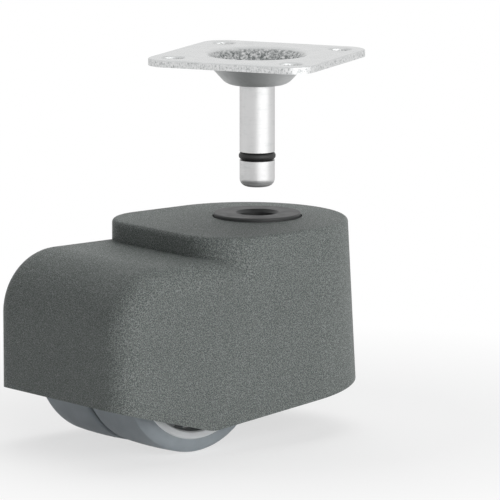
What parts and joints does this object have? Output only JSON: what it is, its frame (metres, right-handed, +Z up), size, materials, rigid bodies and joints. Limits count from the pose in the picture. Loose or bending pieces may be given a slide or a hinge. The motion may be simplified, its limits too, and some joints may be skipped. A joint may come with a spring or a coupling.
{
  "type": "swivel caster",
  "caption": "Hooded furniture caster with side-by-side wheels; its square bolt-on plate carries a ringed stem, shown drawn out of the socket.",
  "frame": {"origin": "centre of the mounting plate's flat top face, on the swivel axis", "axes": "+Z up along the swivel axis, out of the plate's face; -X towards the wheels; the wheels turn about Y"},
  "size_m": [0.083, 0.05, 0.0853],
  "materials": {
    "zinc_sheet": "bright zinc plate, pressed",
    "zinc_pin": "bright zinc plate, turned",
    "ring_rubber": "satin black",
    "hood_plastic": "fine moulded grain, dark green-grey",
    "black_nylon": "satin black",
    "axle_steel": "plain turned",
    "washer_plastic": "natural",
    "core_plastic": "satin light grey",
    "tread": "matt blue-grey, soft"
  },
  "bodies": {
    "mount": {"mounting_plate": "zinc_sheet", "stem": "zinc_pin"},
    "ring": {"o_ring": "ring_rubber"},
    "housing": {"hood": "hood_plastic", "chassis": "black_nylon", "axle": "axle_steel", "centre_washer": "washer_plastic", "hub_washer_left": "washer_plastic", "hub_washer_right": "washer_plastic"},
    "wheel_left": {"tyre_left": "tread", "wheel_core_left": "core_plastic"},
    "wheel_right": {"tyre_right": "tread", "wheel_core_right": "core_plastic"}
  },
  "joints": [
    {"name": "swivel", "type": "hinge", "parent": "mount", "child": "ring", "pos_m": [0, 0, -0.0233], "axis": [0, 0, 1], "continuous": true},
    {"name": "hood_push_on", "type": "slide", "parent": "ring", "child": "housing", "axis": [0, 0, 1], "range_m": [0, 0.0292]},
    {"name": "wheel_left_spin", "type": "hinge", "parent": "housing", "child": "wheel_left", "pos_m": [-0.0315, 0.0091, -0.0653], "axis": [0, 1, 0], "continuous": true},
    {"name": "wheel_right_spin", "type": "hinge", "parent": "housing", "child": "wheel_right", "pos_m": [-0.0315, -0.0091, -0.0653], "axis": [0, 1, 0], "continuous": true}
  ]
}
